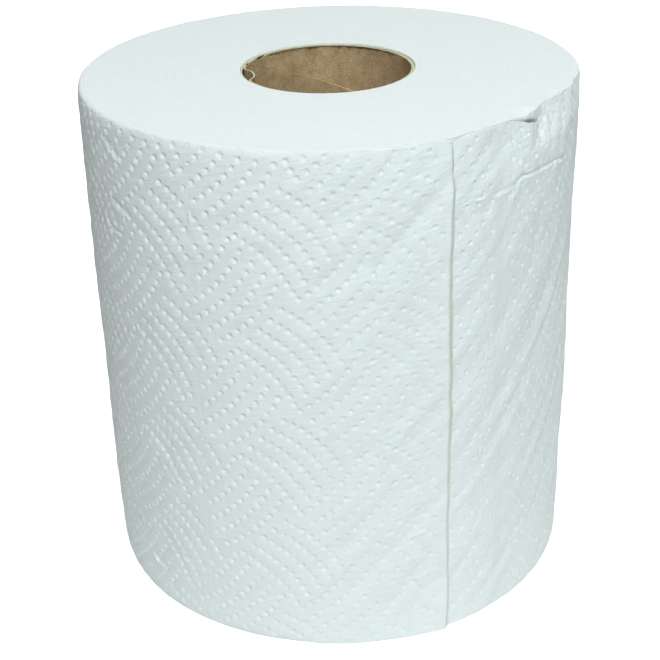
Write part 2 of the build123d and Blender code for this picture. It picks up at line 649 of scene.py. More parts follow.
@dataclass
class OuterTurn:
    """The outermost turn of the web: thin towel sheets, parted by perforations, up to the loose tail."""

    sizes: RollSizes
    form: RollForm
    emboss: Emboss = field(default_factory=Emboss)
    glue: GlueBand = field(default_factory=GlueBand)
    loft: float = 0.0004
    thickness: float = 0.00038
    backing: float = 0.0010
    backing_reach: Limits = (0.002, 0.010)
    backing_edge_reach: Limits = (0.002, 0.007)
    flap_backing: float = 0.0005
    flap_backing_reach: Limits = (0.008, 0.014)
    tuck_sink: float = 0.0008
    tuck_sink_reach: Limits = (0.003, 0.010)
    tuck_sink_rim_share: float = 0.7
    tail_angle: float = 25.0
    tuck_length: float = 0.038
    flap_length: float = 0.014
    rim_flap_length: float = 0.022
    rim_flap_from: float = 0.188
    tail_lift: Points = (
        (0.000, 0.0013), (0.013, 0.0012), (0.030, 0.0008), (0.065, 0.0008), (0.085, 0.0012),
        (0.110, 0.0015), (0.142, 0.0016), (0.182, 0.0013), (0.195, 0.0006), (0.200, 0.0003),
    )
    tail_fold_length: Points = (
        (0.000, 0.0015), (0.030, 0.0014), (0.060, 0.0016), (0.090, 0.0021), (0.130, 0.0023),
        (0.170, 0.0020), (0.185, 0.0014), (0.200, 0.0007),
    )
    tail_fold_share: float = 0.94
    tail_fold_room: float = 0.0025
    tail_edge: Points = (
        (0.000, 0.0006), (0.020, 0.0009), (0.045, 0.0003), (0.070, 0.0007), (0.090, 0.0013),
        (0.112, 0.0010), (0.135, 0.0006), (0.160, 0.0006), (0.180, 0.0010), (0.200, 0.0002),
    )
    tail_edge_reach: float = 0.012
    tail_edge_rag: float = 0.0002
    tail_edge_cell: float = 0.007
    tail_lane: int = 3
    rim_drop: Points = (
        (6, 0.0), (11, 0.0005), (16, 0.0003), (20.5, -0.0007), (22.5, 0.0003), (24.5, 0.0013), (28, 0.0006),
        (36, 0.0005), (41, 0.0007), (44, 0.0018), (46.5, 0.0028), (50, 0.0046), (51.8, 0.0054),
        (53.2, 0.0030), (55.5, 0.0004), (60, 0.0),
    )
    rim_drop_reach: float = 0.016
    rim_ragged: Points = (
        (-180, 0.00020), (-80, 0.00026), (-20, 0.00022), (5, 0.00014), (42, 0.00014), (50, 0.00042),
        (72, 0.00036), (90, 0.00020),
    )
    rim_ragged_cell: float = 0.0022
    rim_lane: int = 9
    foot_ragged: float = 0.00016
    foot_ragged_cell: float = 0.005
    foot_lane: int = 17
    cut_reach: float = 0.001
    dot_radius: float = 0.00132
    dot_depth: float = 0.00084
    dot_core_share: float = 0.45
    dot_core_depth_share: float = 0.62
    dot_uneven: tuple[float, float] = (0.78, 1.1)
    dot_room: float = 0.0007
    dot_edge_room_share: float = 0.25
    dots_under_tail: float = 0.004
    dot_strength: Points = (
        (-180, 1.0), (-60, 1.18), (-30, 1.06), (-14, 0.88), (4, 0.66), (24, 0.52), (27, 0.84), (70, 0.88),
        (110, 0.95), (180, 1.0),
    )
    dot_width: Points = ((-180, 1.0), (0, 1.0), (24, 0.92), (27, 0.80), (72, 0.80), (110, 1.0), (180, 1.0))
    ripples: tuple[Ripple, ...] = (
        Ripple(0.00020, (0.0100, 0.0068), 0.30, ((-180, 1.0), (180, 1.0)), 5),
        Ripple(
            0.00006, (0.0052, 0.0021), 0.28, ((-180, 1.0), (25, 1.0), (27, 0.6), (80, 0.6), (110, 1.0)), 6,
        ),
        Ripple(
            0.00050, (0.0280, 0.0075), 1.10, ((-180, 0.3), (-25, 0.3), (-5, 1.0), (60, 1.0), (110, 0.3)), 7,
        ),
    )
    ripple_foot: Points = ((0.0, 0.25), (0.006, 0.4), (0.020, 1.0))
    relief_strength: Points = (
        (-180, 1.0), (-32, 1.0), (-8, 0.9), (24, 0.8), (27, 0.5), (75, 0.5), (110, 1.0), (180, 1.0),
    )
    pillow_height: float = 0.00004
    valley_depth: float = 0.00022
    valley_strength: Points = ((-180, 1.0), (-32, 1.0), (-8, 0.3), (75, 0.3), (110, 1.0), (180, 1.0))
    last_sheet: float = 0.0935
    sheet_length: float = 0.2410
    sheet_gap: float = 0.00005
    perforation_tilt: float = 2.0
    perforation_tilt_reach: float = 0.030
    perforation_depth: float = 0.00010
    perforation_width: float = 0.00042
    perforation_valley_share: float = 1.3
    perforation_valley_width_share: float = 2.2
    perforation_row_shares: tuple[float, ...] = (-2.2, -1.0, 1.0, 2.2)
    dent_angle: float = 45.0
    dent_half_angle: float = 32.0
    dent_rows: tuple[float, ...] = (0.0022, 0.0038, 0.0056, 0.0076)
    border_spacing: Limits = (0.0016, 0.0012)
    fill_spacings: tuple[float, float, float] = (0.0009, 0.00115, 0.0013)
    fill_jitter_share: float = 0.3
    fold_spacing: float = 0.0012
    lip_row: float = 0.0007
    crease_spacing: float = 0.0010
    rim_row: float = 0.0009
    rim_row_inset: float = 0.001
    rim_row_spacing: float = 0.0016
    dent_clear_share: float = 1.12
    mesh_gap: float = 0.00030
    back_inset: Limits = (0.003, 0.002)
    back_spacing: Limits = (0.005, 0.006)
    sharp_angle: float = 60.0
    creases: tuple[Crease, ...] = (
        Crease(((25.3, 0.1758), (27.9, 0.1766), (29.6, 0.1774)), 0.00030, 0.00035, 0.0002, 0.002),
        Crease(((25.3, 0.1747), (27.6, 0.1753)), 0.00030, 0.00035, 0.0002, 0.002),
        Crease(((25.5, 0.1770), (28.2, 0.1782)), 0.00022, 0.00035, 0.0001, 0.002),
        Crease(((29.2, 0.1786), (30.4, 0.1772), (32.0, 0.1770), (33.2, 0.1784)), 0.00040, 0.0005, 0.0003,
               0.002),
        Crease(((33.4, 0.1762), (36.9, 0.1769), (40.3, 0.1775), (42.5, 0.1786)), 0.00030, 0.0006, 0.0002),
        Crease(((41.4, 0.1783), (43.4, 0.1794), (47.9, 0.1790), (51.8, 0.1789), (56.3, 0.1791),
                (60.0, 0.1781), (63.5, 0.1768)), 0.00075, 0.0005, 0.0002, 0.003),
        Crease(((43.4, 0.1788), (41.2, 0.1745), (39.0, 0.1695)), -0.00050, 0.0013),
        Crease(((46.0, 0.1930), (38.0, 0.1800), (31.0, 0.1690)), 0.00038, 0.0022),
        Crease(((41.0, 0.1950), (34.0, 0.1860), (28.0, 0.1790)), 0.00034, 0.0018),
        Crease(((36.0, 0.1965), (31.0, 0.1890), (26.5, 0.1830)), 0.00030, 0.0018),
        Crease(((45.0, 0.1770), (40.0, 0.1640), (34.0, 0.1520)), 0.00030, 0.0026),
        Crease(((63.0, 0.1960), (60.0, 0.1880), (58.5, 0.1820)), 0.00040, 0.0014),
        Crease(((57.5, 0.1960), (55.5, 0.1890), (54.5, 0.1815)), 0.00045, 0.0012),
        Crease(((52.0, 0.1680), (49.0, 0.1500), (47.5, 0.1380)), 0.00030, 0.0022),
        Crease(((-56.0, 0.1716), (-54.7, 0.1706), (-52.3, 0.1692), (-49.6, 0.1682), (-47.5, 0.1664)),
               0.00055, 0.0013, 0.0001),
        Crease(((-59.3, 0.1625), (-57.2, 0.1593), (-54.9, 0.1582), (-51.4, 0.1583)), 0.00045, 0.0006,
               0.0002),
        Crease(((-30.6, 0.1780), (-30.2, 0.1690)), 0.00025, 0.0005, 0.0002),
        Crease(((-53.0, 0.0200), (-50.0, 0.0170), (-46.5, 0.0182)), 0.00060, 0.0009, 0.0006),
        Crease(((-40.5, 0.0275), (-37.0, 0.0262)), 0.00060, 0.0009, 0.0005),
        Crease(((-57.0, 0.1930), (-53.0, 0.1895), (-50.0, 0.1868)), 0.00050, 0.0011, 0.0003),
        Crease(((-65.0, 0.0600), (-62.5, 0.0583)), 0.00060, 0.0009, 0.0005),
    )

    def __post_init__(self) -> None:
        """Set the sheets' limits on the flat and the noise of their edges."""
        self.turn_length = TAU * self.sizes.radius
        self.tail_x = math.radians(self.tail_angle) * self.sizes.radius
        self.far_end = self.tail_x - self.turn_length - self.tuck_length
        self.noise = SmoothNoise(5, 64, 64)
        self.draw = np.random.default_rng(8)

    def spans(self) -> list[SheetSpan]:
        """List the sheets from the tail on: the last of them goes on under the tail."""
        first_line = self.last_sheet
        second_line = first_line + self.sheet_length
        far_end = self.turn_length + self.tuck_length
        tail_fill, second_fill, third_fill = self.fill_spacings
        return [
            SheetSpan("towel_tail_sheet", 0.0, first_line, tail_fill),
            SheetSpan("towel_second_sheet", first_line, second_line, second_fill),
            SheetSpan("towel_third_sheet", second_line, far_end, third_fill),
        ]

    def limits(self, span: SheetSpan) -> tuple[Array, Array]:
        """Return a sheet's lowest and highest x and z on the flat, with half the gap at perforations."""
        ends = (self.turn_length + self.tuck_length, 0.0)
        low = self.tail_x - span.far + (0.0 if span.far in ends else self.sheet_gap / 2)
        high = self.tail_x - span.near - (0.0 if span.near in ends else self.sheet_gap / 2)
        return np.array([low, 0.0]), np.array([high, self.sizes.height])

    def angles(self, x: Array) -> Array:
        """Turn places along the flat sheet into degrees to the right of the front."""
        return np.degrees(x / self.sizes.radius)

    def perforations(self) -> list[float]:
        """Return where each perforation lies along the flat sheet."""
        count = int((self.turn_length - self.last_sheet) / self.sheet_length) + 1
        return [self.tail_x - self.last_sheet - index * self.sheet_length for index in range(count)]

    def glue_share(self, places: Array) -> Array:
        """Give how far each point lies in the smooth band of pick-up glue beside the tail."""
        up = places[:, 1] / self.sizes.height
        middle = self.glue.foot_angle + (self.glue.top_angle - self.glue.foot_angle) * up
        away = np.radians(np.abs(wrapped(self.angles(places[:, 0]) - middle))) * self.sizes.radius
        return 1 - smooth_step(self.glue.half_width, self.glue.fade_share * self.glue.half_width, away)

    def fold_share(self, places: Array) -> Array:
        """Give how far each point lies down the folded lip of the tail."""
        return np.clip(1 - (self.tail_x - places[:, 0]) / eased(self.tail_fold_length, places[:, 1]), 0, 1)

    def slow_radius(self, places: Array) -> Array:
        """Work out the sheet's radius with its slow forms only.

        Args:
            places: A row of x and z on the flat sheet for each point.

        Returns:
            The radius of the sheet's outer face at each point.
        """
        wound = self.tail_x - places[:, 0]
        radius = self.sizes.radius - self.loft * wound / self.turn_length
        to_rim = smooth_step(self.rim_flap_from, self.sizes.height, places[:, 1])
        flap = self.flap_length + (self.rim_flap_length - self.flap_length) * to_rim
        fold = eased(self.tail_fold_length, places[:, 1])
        free = np.clip(1 - np.maximum(wound - fold, 0) / (flap - fold), 0, 1)
        lift = free * free - self.tail_fold_share * self.fold_share(places)
        radius = radius + eased(self.tail_lift, places[:, 1]) * lift
        under = wound - self.turn_length
        sink = self.tuck_sink * smooth_step(*self.tuck_sink_reach, under)
        radius = radius - sink * (1 - self.tuck_sink_rim_share * to_rim)
        return radius + self.form.offset(self.angles(places[:, 0]), places[:, 1])

    def fine_offset(self, places: Array) -> Array:
        """Work out the creases, the soft relief of the emboss, the ripples and the perforations.

        Args:
            places: A row of x and z on the flat sheet for each point.

        Returns:
            The move at each point, outwards.
        """
        turn = wrapped(self.angles(places[:, 0]))
        on_turn = np.stack([np.radians(turn) * self.sizes.radius, places[:, 1]], axis=1)
        move = np.zeros(len(places))
        for crease in self.creases:
            move += crease.offset(on_turn, self.sizes.radius)
        calm = eased(self.ripple_foot, places[:, 1])
        for ripple in self.ripples:
            move += calm * ripple.offset(places, turn)
        pillow, valley = self.emboss.relief(places)
        move += self.pillow_height * eased(self.relief_strength, turn) * pillow
        move -= self.valley_depth * eased(self.valley_strength, turn) * valley
        for line in self.perforations():
            away = (places[:, 0] - line) / self.perforation_width
            valley = np.exp(-((away / self.perforation_valley_width_share) ** 2))
            line_move = np.exp(-away * away) - self.perforation_valley_share * valley
            move += self.perforation_depth * line_move
        return move

    def edge_moves(self, places: Array) -> tuple[Array, Array]:
        """Work out how the sheet's cut edges wander and its perforations lean.

        Args:
            places: A row of x and z on the flat sheet for each point.

        Returns:
            The moves along the sheet and upwards.
        """
        x, z = places[:, 0], places[:, 1]
        near_tail = 1 - smooth_step(0, self.tail_edge_reach, self.tail_x - x)
        wander = self.tail_edge_rag * self.noise.along(z / self.tail_edge_cell, self.tail_lane)
        along = near_tail * (eased(self.tail_edge, z) + wander)
        lean = math.radians(self.perforation_tilt) * self.sizes.radius * (z / self.sizes.height - 0.5)
        for line in self.perforations():
            along = along + lean * np.exp(-(((x - line) / self.perforation_tilt_reach) ** 2))
        from_top = self.sizes.height - z
        turn = wrapped(self.angles(x))
        uneven = 1 + self.noise.along(x / self.rim_ragged_cell, self.rim_lane)
        ragged = eased(self.rim_ragged, turn) * uneven * np.exp(-from_top / self.cut_reach)
        drop = eased(self.rim_drop, turn) * (1 - smooth_step(0, self.rim_drop_reach, from_top))
        uneven = 1 + self.noise.along(x / self.foot_ragged_cell, self.foot_lane)
        up = self.foot_ragged * uneven * np.exp(-z / self.cut_reach)
        return along, up - (ragged + drop)

    def border(self, low: Array, high: Array) -> Array:
        """Return a sheet's border on the flat, going round against the clock."""
        width, height = high - low
        across_step, upward_step = self.border_spacing
        along = np.linspace(0, 1, int(width / across_step), endpoint=False)
        upward = np.linspace(0, 1, int(height / upward_step), endpoint=False)
        sides = [
            np.stack([along * width, 0 * along], axis=1),
            np.stack([0 * upward + width, upward * height], axis=1),
            np.stack([(1 - along) * width, 0 * along + height], axis=1),
            np.stack([0 * upward, (1 - upward) * height], axis=1),
        ]
        return low + np.concatenate(sides)

    def dents(self, low: Array, high: Array) -> Dents:
        """Lay out the dents of the emboss in one sheet, smaller where they meet its edges.

        Args:
            low: Lowest x and z of the sheet.
            high: Highest x and z of it.

        Returns:
            The dents.
        """
        first = np.array([max(low[0], self.tail_x - self.turn_length - self.dots_under_tail), 0.0])
        last = np.array([min(high[0], self.tail_x - self.tail_fold_room), high[1]])
        places = self.emboss.dots(first, last, self.dot_room)
        turn = wrapped(self.angles(places[:, 0]))
        room = np.minimum(places - first, last - places).min(axis=1)
        room = room - self.dot_room * self.dot_edge_room_share
        radius = np.minimum(self.dot_radius * eased(self.dot_width, turn), room)
        depth = self.dot_depth * self.draw.uniform(*self.dot_uneven, len(places)) * radius / self.dot_radius
        depth = depth * (1 - self.glue_share(places)) * eased(self.dot_strength, turn)
        return Dents(places, radius, depth, self.dot_core_share, self.dot_core_depth_share)

    def fill(self, low: Array, high: Array, spacing: float) -> Array:
        """Return loosely spaced points all over a sheet."""
        columns, rows = ((high - low) / spacing).astype(int)
        middles = np.meshgrid(np.arange(columns) + 0.5, np.arange(rows) + 0.5)
        grid = np.stack(middles, axis=-1).reshape(-1, 2)
        grid = grid + self.draw.uniform(-self.fill_jitter_share, self.fill_jitter_share, grid.shape)
        return low + grid * (high - low) / (columns, rows)

    def fold_lines(self) -> list[Array]:
        """Return the points of the sharp upright folds: the tail's lip and the perforations."""
        step = self.fold_spacing
        height = np.linspace(step, self.sizes.height - step, int(self.sizes.height / step))
        lines = [self.tail_x - eased(self.tail_fold_length, height)] + self.perforations()
        return [np.stack([0 * height + line, height], axis=1) for line in lines]

    def soft_lines(self) -> Array:
        """Return the points of lines that the mesh follows softly: creases, rims and perforations' sides."""
        folds = self.fold_lines()
        lines = [folds[0] - (self.lip_row, 0.0)]
        for line in folds[1:]:
            for share in self.perforation_row_shares:
                lines.append(line + (share * self.perforation_width, 0.0))
        for crease in self.creases:
            points = crease.mesh_points(self.sizes.radius, self.crease_spacing)
            points[:, 0] -= np.where(points[:, 0] > self.tail_x, self.turn_length, 0)
            lines.append(points)
        inset = self.rim_row_inset
        x = np.arange(self.far_end + inset, self.tail_x - inset, self.rim_row_spacing)
        near_dent = x[np.abs(wrapped(self.angles(x)) - self.dent_angle) < self.dent_half_angle]
        for z in (self.rim_row, self.sizes.height - self.rim_row):
            lines.append(np.stack([x, 0 * x + z], axis=1))
        for below in self.dent_rows:
            lines.append(np.stack([near_dent, 0 * near_dent + self.sizes.height - below], axis=1))
        return np.concatenate(lines)

    def face_points(self, low: Array, high: Array, dents: Dents, spacing: float) -> tuple[Array, Array]:
        """Gather the points inside a sheet's outer face.

        Args:
            low: Lowest x and z of the sheet.
            high: Highest x and z of it.
            dents: The dents of the emboss.
            spacing: Distance of the points on the land between the dents.

        Returns:
            A row of x and z for each point, and the sharp fold that it lies on or NO_FOLD.
        """
        folds = self.fold_lines()
        fold_numbers = [np.full(len(line), NO_FOLD - 1 - index) for index, line in enumerate(folds)]
        dent_points, dent_folds = dents.mesh_points()
        loose = np.concatenate([self.soft_lines(), self.fill(low, high, spacing)])
        inside = np.all((loose > low) & (loose < high), axis=1)
        loose = loose[inside]
        loose = loose[dents.nearest(loose)[1] > self.dent_clear_share]
        places = np.concatenate(folds + [dent_points, loose])
        numbers = np.concatenate(fold_numbers + [dent_folds, np.full(len(loose), NO_FOLD)])
        keep = np.all((places > low + self.mesh_gap) & (places < high - self.mesh_gap), axis=1)
        places, numbers = places[keep], numbers[keep]
        cells = np.floor(places / self.mesh_gap).astype(np.int64)
        _, first_seen = np.unique(cells, axis=0, return_index=True)
        first_seen.sort()
        return places[first_seen], numbers[first_seen]

    def wrap(self, places: Array, radius: Array) -> Array:
        """Wind points of the flat sheet round the roll.

        Args:
            places: A row of x and z on the flat sheet for each point.
            radius: Radius at each point.

        Returns:
            A row of x, y and z for each point.
        """
        along, up = self.edge_moves(places)
        return place_round(self.angles(places[:, 0] + along), radius, places[:, 1] + up)

    def inner_radius(self, places: Array) -> Array:
        """Work out the radius of the sheet's inner face."""
        edge = np.minimum.reduce(
            [places[:, 0] - self.far_end, places[:, 1], self.sizes.height - places[:, 1]]
        )
        wound = self.tail_x - places[:, 0]
        on_flap = self.flap_backing * smooth_step(*self.flap_backing_reach, wound)
        start, end = self.backing_reach
        past_flap = smooth_step(self.tuck_length + start, self.tuck_length + end, wound)
        deeper = on_flap + (self.backing - self.flap_backing) * past_flap
        deeper = deeper * smooth_step(*self.backing_edge_reach, edge)
        return self.slow_radius(places) - self.thickness - deeper

    def build_sheet(self, span: SheetSpan) -> bpy.types.Object:
        """Make one towel sheet as a thin closed solid.

        Args:
            span: The sheet's limits.

        Returns:
            The new piece.
        """
        low, high = self.limits(span)
        border = self.border(low, high)
        dents = self.dents(low, high)
        places, folds = self.face_points(low, high, dents, span.fill_spacing)
        outer = triangulate(np.concatenate([border, places]))
        outer_folds = np.concatenate([np.full(len(border), NO_FOLD), folds])[outer.source]
        face = self.slow_radius(outer.places) + self.fine_offset(outer.places) - dents.dip(outer.places)
        start, stop = self.back_inset
        across = np.arange(low[0] + start, high[0] - stop, self.back_spacing[0])
        upward = np.arange(start, self.sizes.height - stop, self.back_spacing[1])
        grid = np.stack(np.meshgrid(across, upward), axis=-1).reshape(-1, 2)
        inner = triangulate(np.concatenate([border, grid]))
        outer_edge = outer.loop(len(border))
        inner_edge = inner.loop(len(border)) + len(outer.places)
        sides = np.stack([outer_edge, inner_edge, np.roll(inner_edge, -1), np.roll(outer_edge, -1)], axis=1)
        back = inner.faces[:, ::-1] + len(outer.places)
        rounds = [self.wrap(outer.places, face), self.wrap(inner.places, self.inner_radius(inner.places))]
        piece = make_piece(
            span.name,
            np.concatenate(rounds),
            outer.faces.tolist() + back.tolist() + sides.tolist(),
            self.sharp_angle,
            np.concatenate([outer_folds, np.full(len(inner.places), NO_FOLD)]),
        )
        # The fold share is stored for the tissue finish, which paints shade on the tail's folded lip with
        # it.
        lip = piece.data.attributes.new(LIP_SHADE_ATTRIBUTE, "FLOAT", "POINT")
        lip.data.foreach_set("value", self.fold_share(np.concatenate([outer.places, inner.places])))
        return piece

    def build(self) -> list[bpy.types.Object]:
        """Make every sheet of the turn, from the tail on."""
        return [self.build_sheet(span) for span in self.spans()]

    def dress(self, pieces: list[bpy.types.Object], finish: "TissueFinish") -> None:
        """Give the sheets their finish and their place in the frame."""
        material = finish.build()
        for piece in pieces:
            piece.data.materials.append(material)
            seat(piece, "towel_web")


@dataclass
class WoundTurns:
    """All the turns below the outermost one, as one solid with both wound ends."""

    sizes: RollSizes
    form: RollForm
    sheet: OuterTurn
    columns: int = 480
    end_rings: int = 64
    wall_rings: int = 44
    gap: float = 0.00003
    ridge: float = 0.00010
    rim_drop: Points = ((36, 0.0), (43, 0.0003), (46.5, 0.0009), (49, 0.0006), (53, 0.0))
    rim_gap: Points = (
        (4, 0.0), (12, 0.0001), (38, 0.0001), (44, 0.0004), (47, 0.0011), (51, 0.0017), (53, 0.0008),
        (55, 0.0),
    )
    rim_lip: Points = ((38, 0.0004), (44, 0.0008), (47, 0.0016), (50, 0.0030), (52, 0.0040))
    rim_gap_foot: Points = (
        (36, 0.0026), (41, 0.0030), (44, 0.0042), (47, 0.0058), (52, 0.0088), (55, 0.0050),
    )
    rim_fray: Points = ((40, 0.0), (45, 0.0004), (51, 0.0009), (54, 0.0004), (70, 0.0002), (90, 0.0))
    rim_rag: Points = ((25, 0.00005), (42, 0.0003), (48, 0.0005), (75, 0.0003), (95, 0.00005))
    rim_rows: tuple[float, ...] = (
        0.0003, 0.0006, 0.0009, 0.0012, 0.0016, 0.0020, 0.0025, 0.0030,
        0.0036, 0.0042, 0.0048, 0.0055, 0.0064, 0.0076, 0.0090,
    )
    rim_rows_room_share: float = 1.2
    gap_opens: Limits = (1.0, 1.5)
    gap_closes: Limits = (0.75, 1.3)
    rag_cell: float = 1.8
    rag_reach: float = 0.003
    rag_lane: int = 7
    fray_cell: float = 1.5
    fray_lane: int = 3
    fray_from_share: float = 0.86
    tuck_ease: float = 2.5
    hidden_reach: Limits = (0.001, 0.006)
    ring_crowding: float = 0.92
    ring_jitter_share: float = 0.2
    wave_cell: float = 15.0
    wave_columns: int = 24
    top_wave_lane: int = 40
    bore_rings: int = 7
    sharp_angle: float = 50.0

    def __post_init__(self) -> None:
        """Set the noise of the rim."""
        self.noise = SmoothNoise(23, 200, 16)

    def wall_radius(self, angle: Array, height: Array) -> Array:
        """Work out the radius of the wound turns under the outer sheet.

        Args:
            angle: Degrees to the right of the front.
            height: Heights above the floor.

        Returns:
            The radius at each point.
        """
        turned = (self.sheet.tail_angle - angle) % 360
        tuck = math.degrees(self.sheet.tuck_length / self.sizes.radius)
        under_tuck = 1 - smooth_step(tuck, tuck + self.tuck_ease, turned)
        layers = 1 + turned / 360 + under_tuck
        edge = np.minimum(height, self.sizes.height - height)
        hidden = self.sheet.backing + self.sheet.tuck_sink * under_tuck
        hidden = hidden * smooth_step(*self.hidden_reach, edge)
        below = self.sizes.height - height
        turn = wrapped(angle)
        open_up = smooth_step(*self.gap_opens, below / eased(self.rim_lip, turn))
        closed = smooth_step(*self.gap_closes, below / eased(self.rim_gap_foot, turn))
        apart = eased(self.rim_gap, turn) * open_up * (1 - closed)
        rag = self.noise.along((turn + 180) / self.rag_cell, self.rag_lane)
        rag = rag * (1 - smooth_step(0, self.rag_reach, below))
        apart = apart - eased(self.rim_rag, turn) * rag
        radius = self.sizes.radius - layers * self.sheet.loft - self.gap - hidden - apart
        return radius + self.form.offset(angle, height)

    def build(self) -> bpy.types.Object:
        """Make the wound turns.

        Returns:
            The new piece.
        """
        draw = np.random.default_rng(21)
        waves = SmoothNoise(22, self.wave_columns, self.end_rings)
        angle = np.arange(self.columns) * 360 / self.columns
        height, bore = self.sizes.height, self.sizes.web_bore
        share = np.linspace(0, 1, self.end_rings) ** self.ring_crowding
        jitter = draw.uniform(-self.ring_jitter_share, self.ring_jitter_share, self.end_rings - 2)
        share[1:-1] += jitter / self.end_rings
        level = draw.uniform(0, 1, self.end_rings)
        fray = self.noise.along(angle / self.fray_cell, self.fray_lane)
        dropped = eased(self.rim_drop, wrapped(angle)) + eased(self.rim_fray, wrapped(angle)) * fray
        foot_face, top_face = [], []
        foot_wall = self.wall_radius(angle, 0 * angle)
        top_wall = self.wall_radius(angle, 0 * angle + height)
        for index in range(self.end_rings):
            wave = waves.along(angle / self.wave_cell, index)
            sunk = self.ridge * (level[index] + 0.5 * (1 + wave))
            foot_face.append(place_round(angle, bore + share[index] * (foot_wall - bore), sunk))
            wave = waves.along(angle / self.wave_cell, index + self.top_wave_lane)
            sunk = self.ridge * (level[index] + 0.5 * (1 + wave))
            sunk = sunk + smooth_step(self.fray_from_share, 1.0, share[index:index + 1]) * dropped
            top_face.append(place_round(angle, bore + share[index] * (top_wall - bore), height - sunk))
        rings = foot_face + self.side_rings(angle) + top_face[::-1]
        for step in np.linspace(1, 0, self.bore_rings + 2)[1:-1]:
            rings.append(place_round(angle, 0 * angle + bore, 0 * angle + height * step))
        faces = ring_faces(len(rings), self.columns, True)
        return make_piece("towel_wound_turns", np.concatenate(rings), faces.tolist(), self.sharp_angle)

    def side_rings(self, angle: Array) -> list[Array]:
        """Work out the rings of the side from the foot up, which lie closer below the top rim.

        Args:
            angle: Degrees to the right of the front.

        Returns:
            A row of x, y and z for each point, ring by ring.
        """
        height = self.sizes.height
        levels = height * (0.5 - 0.5 * np.cos(np.linspace(0, math.pi, self.wall_rings + 2)[1:-1]))
        levels = levels[levels < height - self.rim_rows_room_share * self.rim_rows[-1]].tolist()
        rings = []
        for step in levels + [height - below for below in reversed(self.rim_rows)]:
            level = 0 * angle + step
            rings.append(place_round(angle, self.wall_radius(angle, level), level))
        return rings

    def dress(self, piece: bpy.types.Object, finish: "TissueFinish") -> None:
        """Give the turns their finish and their place in the frame."""
        piece.data.materials.append(finish.build())
        seat(piece, "towel_web")


